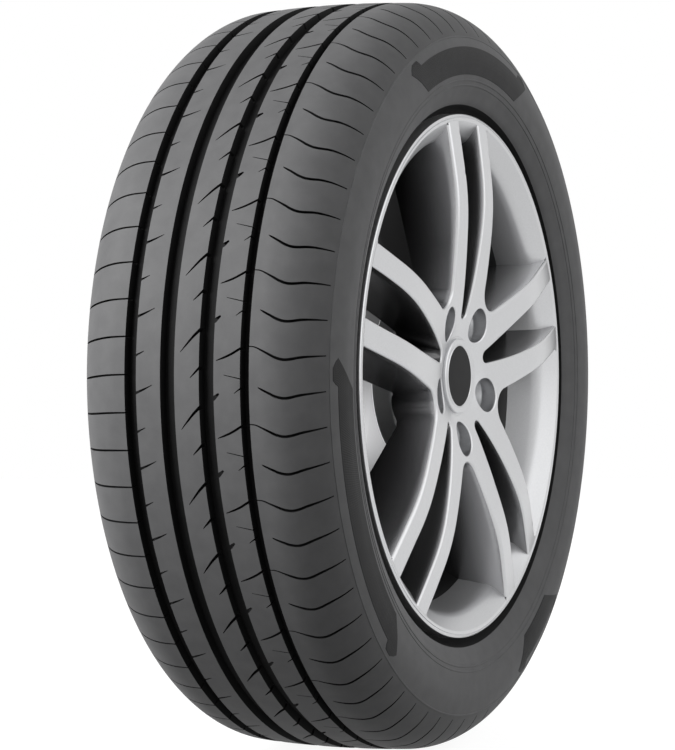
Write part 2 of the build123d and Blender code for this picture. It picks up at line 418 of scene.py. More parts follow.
def rib(gather, first, last, seam, cuts, fade=None, edge_first=True, edge_last=True):
    """One band of tread between two arc lengths, with its cuts, repeated round the tyre.

    An edge of the band slopes down into a groove, unless it is said to run on into the sidewall.
    """
    low, high = seam * DEGREE, (seam + DOUBLE_PITCH) * DEGREE
    cuts = in_pitch(cuts, seam)
    flat, top, floor = rib_sheet(first, last, low, high, cuts)
    across, angle = flat[:, 0], flat[:, 1] / DEGREE
    at_first = np.abs(across - first) < TOUCHING
    at_last = np.abs(across - last) < TOUCHING
    at_seam = (np.abs(flat[:, 1] - low) < TOUCHING) | (np.abs(flat[:, 1] - high) < TOUCHING)
    lean = np.where(at_first & edge_first, -1.0, 0.0) + np.where(at_last & edge_last, 1.0, 0.0)
    depth = cut_depth(across, fade)
    foot_across = across + lean * GROOVE_SLOPE * depth / GROOVE_DEPTH
    base_across = across + lean * GROOVE_SLOPE

    def between(edges, which):
        """Which edges have both ends among these points."""
        return which[edges[:, 0]] & which[edges[:, 1]]

    def at_groove(edges):
        """Which edges lie along a groove."""
        return between(edges, lean < 0) | between(edges, lean > 0)

    rims = open_edges(top)
    rims = rims[~between(rims, at_seam)]
    groove_walls = rims[at_groove(rims)]
    cut_walls = rims[~(between(rims, at_first) | between(rims, at_last))]
    mouths = open_edges(floor)
    mouths = mouths[at_groove(mouths)]

    start, end = flat[cut_walls[:, 0]], flat[cut_walls[:, 1]]
    middle = (start + end) / 2
    step = end - start
    into_cut = unit(np.stack([-step[:, 1], step[:, 0]], axis=1))
    into_cut[~in_any(middle + 0.05 * into_cut, cuts)] *= -1
    _, _, out_axial, out_radial = tread_place(middle[:, 0])

    for swing in np.arange(DOUBLE_PITCHES) * DOUBLE_PITCH:
        surface, outward = tread_points(across, angle + swing, 0.0)
        foot, _ = tread_points(foot_across, angle + swing, depth)
        base, _ = tread_points(base_across, angle + swing, GROOVE_DEPTH)
        gather.add(surface[top], outward[top], TREAD)
        # Groove floors and walls and the cut floors and walls get the near-black rubber: painted shade.
        gather.add(foot[floor], outward[floor], HOLLOW_SHADE)
        for edges, above in ((groove_walls, surface), (mouths, foot)):
            i, j = edges.T
            side = np.zeros((len(edges), 3))
            side[:, 1] = -lean[i]
            gather.flat_quads(above[i], above[j], base[j], base[i], side, HOLLOW_SHADE)
        i, j = cut_walls.T
        wall_angle = middle[:, 1] / DEGREE + swing
        over = spun(out_radial, -out_axial, wall_angle)
        onward = spun(0.0, 1.0, wall_angle + 90)
        facing = into_cut[:, :1] * over + into_cut[:, 1:] * onward
        gather.flat_quads(surface[i], surface[j], foot[j], foot[i], facing, HOLLOW_SHADE)


def make_tread(gather):
    """Five bands of tread with their cuts, from the hub side to the outside, and the groove floors."""
    route = [(-56.0, 0.0), (-76.0, -0.12), (-100.0, -0.45), (-123.0, -0.72)]
    cuts = [cut_outline(route, 16.2 - k * SINGLE_PITCH, [1.3, 1.7, 1.9, 1.2]) for k in range(2)]
    rib(gather, -TREAD_END, GROOVES[0][0], seam=18.5, cuts=cuts, fade=(92.0, 124.0), edge_first=False)

    long_route = [(-48.5, -0.15), (-46.4, 0.0), (-39.0, 0.5), (-31.4, 1.08)]
    short_route = [(-48.5, -0.15), (-46.4, 0.0), (-39.3, 0.54)]
    cuts = [cut_outline(long_route, 8.39, [2.6, 2.3, 1.5, 0.5]),
            cut_outline(short_route, 13.6, [2.3, 1.9, 0.5])]
    rib(gather, GROOVES[0][1], GROOVES[1][0], seam=11.5, cuts=cuts)

    long_route = [(13.5, 0.2), (11.6, 0.0), (6.0, -0.85), (0.0, -1.95), (-5.5, -3.0)]
    short_route = [(13.5, 0.2), (12.3, 0.05), (8.0, -0.65), (3.6, -1.35)]
    cuts = [cut_outline(long_route, 6.37, [3.0, 2.7, 2.2, 1.5, 0.5]),
            cut_outline(short_route, 11.8, [2.6, 2.3, 1.6, 0.5])]
    rib(gather, GROOVES[1][1], GROOVES[2][0], seam=8.6, cuts=cuts)

    long_route = [(27.0, 0.0), (33.0, 0.35), (40.0, 0.85), (50.5, 1.85)]
    notch_route = [(22.5, -0.2), (25.0, 0.0), (29.5, 0.6)]
    thin_route = [(50.5, -0.1), (48.6, 0.0), (41.0, 0.28), (33.9, 0.54)]
    short_route = [(50.5, 0.1), (48.6, 0.0), (42.9, -0.66)]
    cuts = [cut_outline(long_route, 12.8, [0.6, 1.6, 1.9, 2.1]),
            cut_outline(notch_route, 18.3, [4.2, 3.8, 1.6]),
            cut_outline(thin_route, 10.3, [0.9, 0.8, 0.5]),
            cut_outline(short_route, 9.0, [1.6, 1.4, 0.5])]
    rib(gather, GROOVES[2][1], GROOVES[3][0], seam=16.4, cuts=cuts)

    wave = [(66.5, -0.5), (73.0, -1.05), (78.0, -1.47), (84.0, -1.74),
            (90.0, -1.68), (100.0, -1.35), (121.0, -1.0)]
    joined = [(54.5, 0.02), (60.5, -0.06)] + wave
    apart = [(63.75, -0.25)] + wave
    cuts = [cut_outline(joined, 14.7, [0.9, 1.0, 1.4, 2.0, 2.3, 2.4, 2.4, 2.2, 1.0]),
            cut_outline(apart, 14.7 - SINGLE_PITCH, [0.5, 1.5, 2.0, 2.3, 2.4, 2.4, 2.2, 1.0])]
    rib(gather, GROOVES[3][1], TREAD_END, seam=16.4, cuts=cuts, fade=(92.0, 122.0), edge_last=False)

    # The groove floors get the near-black rubber: painted shade.
    for first, last in GROOVES:
        floor = [tread_profile(s, -GROOVE_DEPTH) for s in (first + GROOVE_SLOPE, last - GROOVE_SLOPE)]
        lathe(gather, floor, TYRE_SEGMENTS, HOLLOW_SHADE)


# Tyre sidewalls


def wall_place(wall, radius):
    """Axial place of the sidewall at a radius, and its slope there."""
    line = np.array(wall)[::-1]
    below, axial, above = (np.interp(radius + step, line[:, 1], line[:, 0]) for step in (-0.5, 0.0, 0.5))
    return axial, above - below


def ringed(wall):
    """The sidewall's profile with its thin raised rings."""
    points = list(wall)
    for radius in RING_RADII:
        ring = []
        for step, share in RING_SHAPE:
            axial, _ = wall_place(wall, radius - step)
            ring.append((float(axial) + share * RING_HEIGHT, radius - step))
        clear = RING_SHAPE[-1][0] + 0.05
        above = [p for p in points if p[1] > radius + clear]
        points = above + ring + [p for p in points if p[1] < radius - clear]
    return points


def shoulder_ring():
    """Profile of the ring where the tread ends."""
    return [tread_profile(TREAD_END + step, share * RING_HEIGHT - SHOULDER_RING_SINK)
            for step, share in RING_SHAPE]


def ridged(gather, wall, radii, first, last):
    """Patch of fine radial ridges on the sidewall, between two angles at each radius."""
    axial, slope = wall_place(wall, radii)
    count = int(round((last - first).max() / RIDGE_PITCH))
    share = np.linspace(0, 1, 2 * count + 1)
    angle = first[:, None] + share[None, :] * (last - first)[:, None]
    rise = np.where(np.arange(2 * count + 1) % 2, RIDGE_TOP, RIDGE_FOOT)
    rise[[0, -1]] = 0.0
    points = spun(axial[:, None] + rise[None, :], radii[:, None] + 0 * angle, angle)
    facing = spun(np.ones_like(angle), -slope[:, None] + 0 * angle, angle)
    a, b, c, d = points[:-1, :-1], points[1:, :-1], points[1:, 1:], points[:-1, 1:]
    gather.flat_quads(a, b, c, d, facing[:-1, :-1], RIDGES)
    for edge, radial in ((0, -1.0), (-1, 1.0)):
        under = spun(axial[edge] + PANEL_ROOT + 0 * rise, radii[edge] + 0 * rise, angle[edge])
        top = points[edge]
        side = spun(0 * rise, radial + 0 * rise, angle[edge])
        gather.flat_quads(top[:-1], top[1:], under[1:], under[:-1], side[:-1], RIDGES)


def panel(gather, wall, first, last):
    """Ridged band that flares outward, with a tab at each end of its outer edge."""
    radii = np.linspace(PANEL_LOW, PANEL_HIGH, 8)
    flare = PANEL_FLARE * (radii - PANEL_LOW) / (PANEL_HIGH - PANEL_LOW)
    ridged(gather, wall, radii, first - flare, last + flare)
    radii = PANEL_HIGH + TAB_HEIGHT * np.array([0.0, 0.5, 1.0])
    drawn_in = np.array([0.0, 0.6, 1.6])
    inner = TAB_LENGTH - TAB_INNER_SLANT * drawn_in
    ridged(gather, wall, radii, first - PANEL_FLARE + drawn_in, first - PANEL_FLARE + inner)
    ridged(gather, wall, radii, last + PANEL_FLARE - inner, last + PANEL_FLARE - drawn_in)


def make_sidewalls(gather):
    """Sidewalls with rim guards, rings, panels and the recesses beside the rim, then beads and inside."""
    upper = [tread_profile(s, 0.0) for s in np.linspace(TREAD_END, shoulder_end, 7)]
    widest = (TYRE_HALF_WIDTH, shoulder_height)
    lower = smooth_line([widest, (116.2, 271.0), (114.2, 261.5), (112.0, 256.0)], parts=4)
    wall = upper + [tuple(p) for p in lower[1:]]
    guard = [(110.6, 252.6), (109.2, 249.2), (107.6, 246.6), (106.2, 245.2)]
    recess = [guard[-1], (104.0, 244.4), (100.5, 243.2), (98.0, 241.4), (96.4, 239.2),
              (RIM_HALF_WIDTH, BEAD_TOP)]
    lathe(gather, ringed(wall) + guard, TYRE_SEGMENTS, SIDEWALL)
    lathe(gather, shoulder_ring(), TYRE_SEGMENTS, SIDEWALL)
    lathe(gather, mirrored(wall + guard), TYRE_SEGMENTS, SIDEWALL)
    # The recesses beside the rim get the near-black rubber: painted shade.
    lathe(gather, recess, TYRE_SEGMENTS, HOLLOW_SHADE)
    lathe(gather, mirrored(recess), TYRE_SEGMENTS, HOLLOW_SHADE)
    for first, last in PANELS:
        panel(gather, wall, first, last)
    bead = [(RIM_HALF_WIDTH, BEAD_TOP), (RIM_HALF_WIDTH, SEAT_RADIUS), SEAT_END]
    lining = [(107.5, 291.0), (79.0, 323.0)]
    lathe(gather, bead + lining + mirrored(bead + lining), TYRE_SEGMENTS // 2)


def make_tyre(*materials):
    """Tyre with its tread cut in five bands, plus both sidewalls and beads."""
    gather = Gather()
    make_tread(gather)
    make_sidewalls(gather)
    return gather.build("tyre_rubber", materials)


# Spokes

dish_line = smooth_line([(FACE_INNER_PLACE, FACE_INNER), (102.6, 55.0), (107.6, 80.0), (111.8, 110.0),
                         (114.9, 145.0), (114.6, 172.0), (111.3, 200.0), (LIP, LIP_INNER),
                         (106.2, 240.0)], parts=6)
back_line = np.array([(59.0, 70.0), (60.0, 76.0), (71.5, 90.0), (73.0, 96.0),
                      (49.3, 199.6), (44.0, 224.0)])


def dish(radius):
    """Axial place of the front of the wheel's face at a radius."""
    return np.interp(radius, dish_line[:, 1], dish_line[:, 0])


def back(radius):
    """Axial place of the back of the spokes at a radius."""
    return np.interp(radius, back_line[:, 1], back_line[:, 0])


def arc_through(first, middle, last, count):
    """Points along the arc through three points."""
    (x0, y0), (x1, y1), (x2, y2) = first, middle, last
    d = 2 * (x0 * (y1 - y2) + x1 * (y2 - y0) + x2 * (y0 - y1))
    squares = [x * x + y * y for x, y in (first, middle, last)]
    cx = (squares[0] * (y1 - y2) + squares[1] * (y2 - y0) + squares[2] * (y0 - y1)) / d
    cy = (squares[0] * (x2 - x1) + squares[1] * (x0 - x2) + squares[2] * (x1 - x0)) / d
    angles = np.unwrap([atan2(y - cy, x - cx) for x, y in (first, middle, last)])
    turn = np.linspace(angles[0], angles[2], count)
    reach = hypot(x0 - cx, y0 - cy)
    return np.stack([cx + reach * np.cos(turn), cy + reach * np.sin(turn)], axis=1)


def half_wide():
    """Half the edge of a wide window, outward from its lowest point, as (outward, sideways)."""
    slope = radians(WIDE_HALF_ANGLE)
    centre = WIDE_APEX + WIDE_CORNER / sin(slope)
    turn = np.linspace(0, pi / 2 - slope, 9)
    bend = np.stack([centre - WIDE_CORNER * np.cos(turn), WIDE_CORNER * np.sin(turn)], axis=1)
    reach = np.linspace(bend[-1][0], WIDE_END, 27)[1:]
    line = np.stack([reach, (reach - WIDE_APEX) * tan(slope)], axis=1)
    return np.vstack([bend, line])


def half_narrow():
    """Half the edge of a narrow window, outward from its lowest point, as (outward, sideways)."""
    start = NARROW_BOTTOM + NARROW_CORNER
    half = NARROW_WIDTH / 2
    turn = np.linspace(0, pi / 2, 7)
    bend = np.stack([start - NARROW_CORNER * np.cos(turn), NARROW_CORNER * np.sin(turn)], axis=1)
    bow = ((start + FLANGE_RADIUS) / 2, NARROW_BOW * half)
    flank = arc_through((start, NARROW_CORNER), bow, (FLANGE_RADIUS, half), 36)
    return np.vstack([bend, flank[1:-1]])


def valley_foot(half, whole, foot, draft):
    """The foot moved outward near the hub, where the window ends in a sloping valley."""
    low = half[0][0]
    reach = np.clip((whole[:, 0] - low) / VALLEY_LENGTH, 0, 1)
    sloping = reach < 1
    slid = low + VALLEY_FOOT + reach * (VALLEY_LENGTH - VALLEY_FOOT)
    outward = np.where(sloping, slid, foot[:, 0])
    width = np.interp(outward, half[:, 0], half[:, 1]) - draft
    edge_width = np.maximum(np.interp(whole[:, 0], half[:, 0], half[:, 1]), 1e-6)
    share = np.clip(whole[:, 1] / edge_width, -1, 1)
    in_corner = np.abs(whole[:, 0] - low) < NARROW_CORNER + 0.2
    share = np.where(in_corner, whole[:, 1] / NARROW_CORNER, share)
    return np.stack([outward, np.where(sloping, share * width, foot[:, 1])], axis=1)


class WindowEdge:
    """Open edge of a window, bottom to rim on both sides, with what its rounding needs."""

    def __init__(self, half, angle, rounding, draft, valley):
        whole = np.vstack([half[:0:-1] * [1, -1], half])
        step = unit(np.gradient(whole, axis=0))
        metal = np.stack([-step[:, 1], step[:, 0]], axis=1)
        foot = whole - metal * draft
        if valley:
            foot = valley_foot(half, whole, foot, draft)
        turn = radians(angle)
        turned = np.array([(-cos(turn), sin(turn)), (sin(turn), cos(turn))])
        spread = 1.35 * whole[-1][1]
        far = np.array([[BEYOND_RIM, spread], [BEYOND_RIM, -spread]]) @ turned
        self.path = whole @ turned
        self.to_metal = metal @ turned
        self.foot = foot @ turned
        self.outline = np.vstack([self.path, far])
        self.foot_outline = np.vstack([self.foot, far])
        self.rounding = rounding
        self.slot = NARROW_FLANK if valley else WIDE_FLANK


windows = []
studs = []
for k in range(BOLT_COUNT):
    window_angle = FIRST_WINDOW + SECTOR * k
    windows.append(WindowEdge(half_wide(), window_angle, WIDE_ROUND, WIDE_DRAFT, False))
    windows.append(WindowEdge(half_narrow(), window_angle + SECTOR / 2, NARROW_ROUND, NARROW_DRAFT, True))
    stud_turn = radians(window_angle)
    studs.append(BOLT_CIRCLE_RADIUS * np.array([-cos(stud_turn), sin(stud_turn)]))


def nearest(points, line):
    """Distance from points to a polyline, and the direction to it."""
    first, step = line[:-1], np.diff(line, axis=0)
    length = (step**2).sum(axis=1)
    share = ((points[:, None, :] - first[None]) * step[None]).sum(axis=2) / length[None]
    foot = first[None] + np.clip(share, 0, 1)[..., None] * step[None]
    gap = foot - points[:, None, :]
    distance = np.linalg.norm(gap, axis=2)
    best = distance.argmin(axis=1)
    rows = np.arange(len(points))
    return distance[rows, best], gap[rows, best]


def circle(centre, radius, count):
    """Points round a circle."""
    turn = np.linspace(0, 2 * pi, count, endpoint=False)
    return np.stack([centre[0] + radius * np.cos(turn), centre[1] + radius * np.sin(turn)], axis=1)


def rings_of_points(radii, spacing):
    """Points on circles round the spin axis, about so far apart."""
    return np.vstack([circle((0, 0), radius, int(2 * pi * radius / spacing)) for radius in radii])


def raised(flat, axial):
    """Points of the wheel's plane lifted to their axial places."""
    return np.stack([flat[:, 0], -axial, flat[:, 1]], axis=1)


def rounded_places(radius):
    """Distances from an edge at which its rounding is stepped, the edge itself left out."""
    turns = np.linspace(0, STEEPEST, 6)
    return (radius * (sin(STEEPEST) - np.sin(turns)))[:-1]


def sheet_normals(flat, height, side):
    """Normals of a turned sheet, from its axial places by radius and the side that it faces along Y."""
    radius = np.linalg.norm(flat, axis=1)
    slope = side * (height(radius + 1.0) - height(radius - 1.0)) / 2
    away = flat / radius[:, None]
    return unit(np.stack([slope * away[:, 0], np.full(len(flat), side), slope * away[:, 1]], axis=1))


def round_over(axial, normal, distance, gap, rounding):
    """Lowers points near an edge along a round, and leans their normals over it."""
    near = distance < rounding * sin(STEEPEST)
    lift = np.clip(sin(STEEPEST) - distance[near] / rounding, 0, 1)
    turn = np.arcsin(lift)
    axial[near] -= rounding * (1 - np.cos(turn))
    way = gap[near] / np.maximum(np.linalg.norm(gap[near], axis=1, keepdims=True), 1e-9)
    level = raised(way, np.zeros(len(way)))
    normal[near] = unit(normal[near] * np.cos(turn)[:, None] + level * np.sin(turn)[:, None])


def face_places(flat):
    """Places and normals of the front face, rounded at the windows and the stud pockets."""
    axial = dish(np.linalg.norm(flat, axis=1))
    normal = sheet_normals(flat, dish, -1.0)
    for window in windows:
        distance, gap = nearest(flat, window.path)
        on_edge = distance < TOUCHING
        if on_edge.any():
            close = np.linalg.norm(flat[on_edge][:, None] - window.path[None], axis=2).argmin(axis=1)
            gap[on_edge] = -window.to_metal[close]
        round_over(axial, normal, distance, gap, window.rounding)
    for stud in studs:
        gap = np.linalg.norm(flat - stud, axis=1) - POCKET_RADIUS
        round_over(axial, normal, np.maximum(gap, 0), stud - flat, POCKET_ROUND)
    return raised(flat, axial), normal


def on_face(points, inner, outer, pocket):
    """Which points lie between two radii, off the windows and further than a pocket from each stud."""
    reach = np.linalg.norm(points, axis=1)
    result = (reach > inner) & (reach < outer) & ~in_any(points, [window.outline for window in windows])
    for stud in studs:
        result &= np.linalg.norm(points - stud, axis=1) > pocket
    return result


def front_sheet(gather):
    """Front of the spokes and the hub, with finer steps on the rounded edges."""
    loose = []
    for window in windows:
        loose += [window.path + gap * window.to_metal for gap in rounded_places(window.rounding)]
    for stud in studs:
        loose += [circle(stud, POCKET_RADIUS + gap, POCKET_SEGMENTS)
                  for gap in rounded_places(POCKET_ROUND)]
    rings = rings_of_points(np.arange(40.0, LIP_INNER - 2, 6.0), spacing=6.5)
    clear = np.ones(len(rings), bool)
    for window in windows:
        clear &= nearest(rings, window.path)[0] > window.rounding + 1.0
    for stud in studs:
        clear &= np.linalg.norm(rings - stud, axis=1) > POCKET_RADIUS + POCKET_ROUND + 1.0
    loose = np.vstack(loose + [rings[clear]])
    loose = loose[on_face(loose, FACE_INNER + 1.0, LIP_INNER - 0.8, POCKET_RADIUS + 0.05)]
    lines = [(window.path, False) for window in windows]
    lines += [(circle(stud, POCKET_RADIUS, POCKET_SEGMENTS), True) for stud in studs]
    lines += [(circle((0, 0), FACE_INNER, HUB_SEGMENTS), True),
              (circle((0, 0), LIP_INNER, RIM_SEGMENTS), True)]
    flat, triangles = triangulate(loose, lines)
    middle = flat[triangles].mean(axis=1)
    triangles = triangles[on_face(middle, FACE_INNER - 0.02, LIP_INNER, POCKET_RADIUS - 0.03)]
    places, normals = face_places(flat)
    gather.add(places[triangles], normals[triangles], FACE)


def flanks(gather):
    """Sides of the windows, from the rounded front edge to the back of the spokes."""
    for window in windows:
        top, top_normal = face_places(window.path)
        foot = raised(window.foot, back(np.linalg.norm(window.foot, axis=1)))
        down = foot - top
        normal = unit(np.cross(np.gradient(top, axis=0), down))
        into_window = raised(-window.to_metal, np.zeros(len(top)))
        normal *= np.sign((normal * into_window).sum(axis=1, keepdims=True))
        # Each flank takes its window's material, painted darker with depth as painted shade.
        rows = [(top, top_normal), (top + ROUNDED_SHARE * down, normal), (foot, normal)]
        for (a, na), (b, nb) in zip(rows, rows[1:]):
            gather.quads(a[:-1], a[1:], b[1:], b[:-1], na[:-1], na[1:], nb[1:], nb[:-1], window.slot)


def back_sheet(gather):
    """Back of the spokes."""
    lines = [(window.foot, False) for window in windows]
    lines += [(circle((0, 0), BACK_INNER, HUB_SEGMENTS), True),
              (circle((0, 0), BACK_OUTER, BACK_SEGMENTS), True)]
    flat, triangles = triangulate(rings_of_points((84, 96, 120, 150, 180), spacing=12.0), lines)
    middle = flat[triangles].mean(axis=1)
    reach = np.linalg.norm(middle, axis=1)
    use = (reach > BACK_INNER - 0.1) & (reach < BACK_OUTER)
    use &= ~in_any(middle, [window.foot_outline for window in windows])
    places = raised(flat, back(np.linalg.norm(flat, axis=1)))
    # The back of the spokes takes the barrel's painted shade.
    gather.add(places[triangles[use]], sheet_normals(flat, back, 1.0)[triangles[use]], BARREL)


# Hub and rim


def stud_pocket(gather, stud):
    """Pocket from the face down to the seat of a nut, and the stud hole behind it."""
    ring = circle(stud, POCKET_RADIUS, POCKET_SEGMENTS)
    top, _ = face_places(ring)
    foot = raised(ring, np.full(POCKET_SEGMENTS, POCKET_STEP))
    normal = raised(stud - ring, np.zeros(POCKET_SEGMENTS)) / POCKET_RADIUS
    after = np.roll(np.arange(POCKET_SEGMENTS), -1)
    gather.quads(top, top[after], foot[after], foot, normal, normal[after], normal[after], normal, FACE)
    lathe(gather, [(POCKET_STEP, POCKET_RADIUS), (90.8, 15.2), (86.5, 13.2), (85.5, 12.9), (68.0, 12.9),
                   (65.0, 12.6), (59.0, 7.6), (58.4, 7.0), (OFFSET, BOLT_HOLE_RADIUS)],
          POCKET_SEGMENTS, centre=stud)


def hub(gather):
    """Stud pockets, cap bore, hub bore and mounting pad."""
    for stud in studs:
        stud_pocket(gather, stud)
    bore_edge = BORE_RADIUS + PAD_BEVEL
    pad_edge = PAD_RADIUS - PAD_BEVEL
    lathe(gather, [(FACE_INNER_PLACE, FACE_INNER), (HUB_FRONT, 35.6), (HUB_FRONT, CAP_BORE_RADIUS),
                   (CAP_BORE_END, CAP_BORE_RADIUS), (CAP_BORE_END, BORE_RADIUS),
                   (OFFSET + PAD_BEVEL, BORE_RADIUS), (OFFSET, bore_edge)], HUB_SEGMENTS)
    lathe(gather, [(OFFSET, pad_edge), (OFFSET + PAD_BEVEL, PAD_RADIUS), (66.0, PAD_RADIUS)], HUB_SEGMENTS)
    lines = [(circle((0, 0), radius, HUB_SEGMENTS), True) for radius in (bore_edge, pad_edge)]
    lines += [(circle(stud, BOLT_HOLE_RADIUS, POCKET_SEGMENTS), True) for stud in studs]
    flat, triangles = triangulate([], lines)
    middle = flat[triangles].mean(axis=1)
    reach = np.linalg.norm(middle, axis=1)
    use = (reach > bore_edge - 0.1) & (reach < pad_edge + 0.1)
    for stud in studs:
        use &= np.linalg.norm(middle - stud, axis=1) > BOLT_HOLE_RADIUS - 0.02
    places = raised(flat, np.full(len(flat), OFFSET))[triangles[use]]
    gather.add(places, np.broadcast_to([0.0, 1.0, 0.0], places.shape), FACE)


def rim(gather):
    """Barrel with flanges, bead seats and drop well, then its lip, sloping front and inside."""
    outer = [(-106.0, REAR_INSIDE_RADIUS), (-LIP, 212.4), (-LIP, 235.4), (-105.6, FLANGE_RADIUS),
             (-RIM_HALF_WIDTH, FLANGE_RADIUS), (-RIM_HALF_WIDTH, SEAT_RADIUS), (-SEAT_END[0], SEAT_END[1]),
             (-74.75, WELL_RADIUS), (47.0, WELL_RADIUS), (61.65, SEAT_END[1]), SEAT_END,
             (RIM_HALF_WIDTH, SEAT_RADIUS), (RIM_HALF_WIDTH, FLANGE_RADIUS), (104.8, FLANGE_RADIUS),
             (106.4, 236.3), (LIP, 235.2)]
    lip = [outer[-1], (LIP, 234.5), (106.3, 234.1), (106.3, 233.5), (LIP, 233.1), (LIP, 231.2),
           (106.6, 230.4)]
    # The sloping front takes the darker copy of the silver: painted shade.
    front = [lip[-1], (98.2, 219.0), (95.0, 215.6), (91.0, 213.6), (85.0, 211.9), (64.0, 207.0)]
    # The inside takes painted shade, near-black deeper into the barrel.
    inner = [front[-1], (62.5, 206.0), (52.0, 197.6), (48.5, WELL_INSIDE_RADIUS),
             (-78.7, WELL_INSIDE_RADIUS), (-83.8, REAR_INSIDE_RADIUS), outer[0]]
    for profile, slot in ((outer, FACE), (lip, FACE), (front, RIM_FRONT), (inner, BARREL)):
        lathe(gather, profile, RIM_SEGMENTS, slot)


def make_wheel(*materials):
    """Wheel with rounded spokes, stud pockets, lip and barrel."""
    gather = Gather()
    for section in (front_sheet, flanks, back_sheet, hub, rim):
        section(gather)
    return gather.build("wheel_casting", materials)


# Cap and valve


def make_cap(*materials):
    """Centre cap: bezel, sunk dark middle, and clips behind."""
    gather = Gather()
    rear_radius = CAP_RADIUS - 0.2
    bezel = [(HUB_FRONT, rear_radius), (HUB_FRONT + 0.3, CAP_RADIUS), (98.2, CAP_RADIUS), (98.9, 33.2),
             (99.0, 32.4), (98.9, 30.4), (98.4, 29.4), (98.4, 28.7), (98.9, 28.2), (98.9, 27.6),
             (98.3, CAP_DISC_RADIUS)]
    disc = [bezel[-1], (98.4, 24.0), (98.7, 16.0), (98.8, 8.0), (98.85, AXIS_RADIUS)]
    rear = [(HUB_FRONT, AXIS_RADIUS), (HUB_FRONT, rear_radius)]
    for profile, slot in ((bezel, BEZEL), (disc, CAP_DARK), (rear, CAP_DARK)):
        lathe(gather, profile, HUB_SEGMENTS, slot)
    section = [(CLIP_OUTER, CLIP_HALF_WIDTH), (CLIP_OUTER, -CLIP_HALF_WIDTH),
               (CLIP_INNER, -CLIP_HALF_WIDTH), (CLIP_INNER, CLIP_HALF_WIDTH)]
    for k in range(BOLT_COUNT):
        turn = radians(SECTOR * k)
        out = np.array([cos(turn), 0, sin(turn)])
        side = np.array([-sin(turn), 0, cos(turn)])
        top = np.array([out * reach + side * half + [0, -HUB_FRONT, 0] for reach, half in section])
        foot = top + [0, CLIP_LENGTH, 0]
        after = [1, 2, 3, 0]
        facing = (top + top[after]) / 2 - top.mean(axis=0)
        gather.flat_quads(top, top[after], foot[after], foot, facing, CAP_DARK)
        gather.flat_quads(foot[:1], foot[1:2], foot[2:3], foot[3:], np.array([[0, 1.0, 0]]), CAP_DARK)
    return gather.build("cap_dressed", materials)


def make_valve(rubber, plastic):
    """Snap-in valve: tapered rubber stem, and a ribbed dust cap, square to the wall of the well."""
    turn = radians(VALVE_ANGLE)
    outward = np.array([-cos(turn), 0.0, sin(turn)])
    axis = -(outward + np.array([0.0, 1.0, 0.0])) / sqrt(2)
    foot = outward * VALVE_FOOT[1] + np.array([0.0, -VALVE_FOOT[0], 0.0])
    side = np.cross(axis, [-outward[2], 0.0, outward[0]])
    turned = np.stack([side, -axis, np.cross(side, -axis)])
    stem = Gather()
    lathe(stem, [(-4.0, AXIS_RADIUS), (-4.0, 6.9), (-3.4, 7.6), (-0.6, 7.6), (0.0, 7.0), (0.0, 5.7),
                 (9.0, 5.7), (12.0, 5.3), (20.6, 4.7), (21.0, 4.4), (21.0, AXIS_RADIUS)], VALVE_SEGMENTS)
    cap = Gather()
    corners = np.arange(2 * DUST_CAP_RIBS + 1)
    angles = corners * 180.0 / DUST_CAP_RIBS
    radius = np.where(corners % 2, DUST_CAP_RADIUS, DUST_CAP_VALLEY_RADIUS)
    rings = [spun(along + 0 * radius, share * radius, angles)
             for along, share in ((21.2, 0.0), (21.2, 1.0), (30.6, 1.0), (31.6, 0.85), (32.0, 0.0))]
    for low, high, tilt in zip(rings, rings[1:], (-1.0, 0.0, 0.5, 1.0)):
        facing = spun(tilt + 0 * radius, 1.0 - abs(tilt) + 0 * radius, angles)
        cap.flat_quads(low[:-1], low[1:], high[1:], high[:-1], facing[:-1])
    stem.move(turned, foot)
    cap.move(turned, foot)
    return stem.build("valve_rubber_stem", [rubber]), cap.build("valve_dust_cap", [plastic])


# Materials


def new_material(name):
    """Material with its shader, node list and links."""
    material = bpy.data.materials.new(name)
    material.use_nodes = True
    tree = material.node_tree
    return material, tree.nodes["Principled BSDF"], tree.nodes, tree.links


def object_noise(nodes, links, scale, detail):
    """Output of a noise that sticks to the object."""
    place = nodes.new("ShaderNodeTexCoord")
    noise = nodes.new("ShaderNodeTexNoise")
    noise.inputs["Scale"].default_value = scale
    noise.inputs["Detail"].default_value = detail
    links.new(place.outputs["Object"], noise.inputs["Vector"])
    return noise.outputs["Fac"]


def paint(shader, nodes, links, value, tones):
    """Colours a shader by a value, through a ramp of (position, red, green, blue) tones."""
    ramp = nodes.new("ShaderNodeValToRGB")
    elements = ramp.color_ramp.elements
    while len(elements) < len(tones):
        elements.new(0.5)
    for element, (position, red, green, blue) in zip(elements, tones):
        element.position = position
        element.color = (red, green, blue, 1)
    links.new(value, ramp.inputs["Fac"])
    links.new(ramp.outputs["Color"], shader.inputs["Base Color"])


def rubber_material(name, shade, sheen):
    """Dark rubber with faint mottling and a fine moulded grain."""
    material, shader, nodes, links = new_material(name)
    mottling = object_noise(nodes, links, scale=60.0, detail=6.0)
    paint(shader, nodes, links, mottling, [(0.0, 0.8 * shade, 0.8 * shade, 0.82 * shade),
                                           (1.0, 1.2 * shade, 1.2 * shade, 1.22 * shade)])
    bump = nodes.new("ShaderNodeBump")
    bump.inputs["Strength"].default_value = 0.12
    bump.inputs["Distance"].default_value = 0.0004
    links.new(object_noise(nodes, links, scale=1400.0, detail=3.0), bump.inputs["Height"])
    links.new(bump.outputs["Normal"], shader.inputs["Normal"])
    shader.inputs["Roughness"].default_value = 0.6
    shader.inputs["Specular IOR Level"].default_value = sheen
    return material


